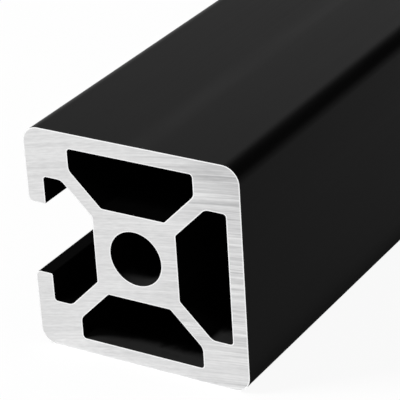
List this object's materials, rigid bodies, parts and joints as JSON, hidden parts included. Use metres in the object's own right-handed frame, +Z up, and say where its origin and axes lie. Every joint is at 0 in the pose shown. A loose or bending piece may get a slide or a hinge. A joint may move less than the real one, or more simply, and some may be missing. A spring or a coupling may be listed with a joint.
{
  "type": "aluminium extrusion profile",
  "caption": "Square aluminium extrusion bar with a T-slot along its side, closed pockets, diagonal webs and a central screw bore.",
  "frame": {"origin": "on the bore's axis at the front sawn end", "axes": "+Y runs along the bar, away from the front end; +Z is up; the T-slot opens towards -X"},
  "size_m": [0.02, 0.3, 0.02],
  "materials": {
    "black_anodised": "satin black anodised, with bare sawn ends"
  },
  "bodies": {
    "root": {"profile_bar": "black_anodised"}
  },
  "joints": []
}
